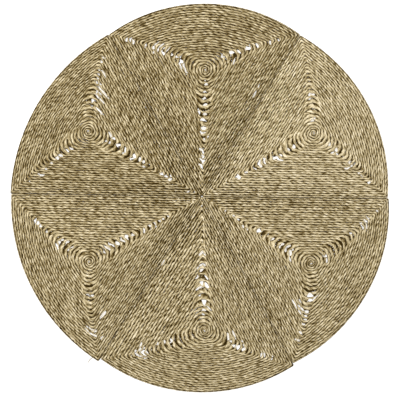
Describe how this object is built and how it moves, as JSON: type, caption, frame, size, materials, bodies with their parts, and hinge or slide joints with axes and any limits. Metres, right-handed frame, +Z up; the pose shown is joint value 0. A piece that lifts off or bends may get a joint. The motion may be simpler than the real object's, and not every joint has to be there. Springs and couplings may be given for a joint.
{
  "type": "round seagrass rug",
  "caption": "Flat round rug of twisted seagrass rope, wound into wedge-shaped petals that are sewn side by side around its middle.",
  "frame": {"origin": "on the floor under the middle of the rug's box", "axes": "+Z up off the floor, +X and +Y along the floor, with the top petal towards +Y"},
  "size_m": [1.1864, 1.219, 0.0074],
  "materials": {
    "seagrass": "dry matt seagrass rope in straw, olive and brown tones, undyed"
  },
  "bodies": {
    "root": {"petal_upper_right": "seagrass", "petal_top": "seagrass", "petal_upper_left": "seagrass", "petal_lower_left": "seagrass", "petal_bottom": "seagrass", "petal_lower_right": "seagrass"}
  },
  "joints": []
}
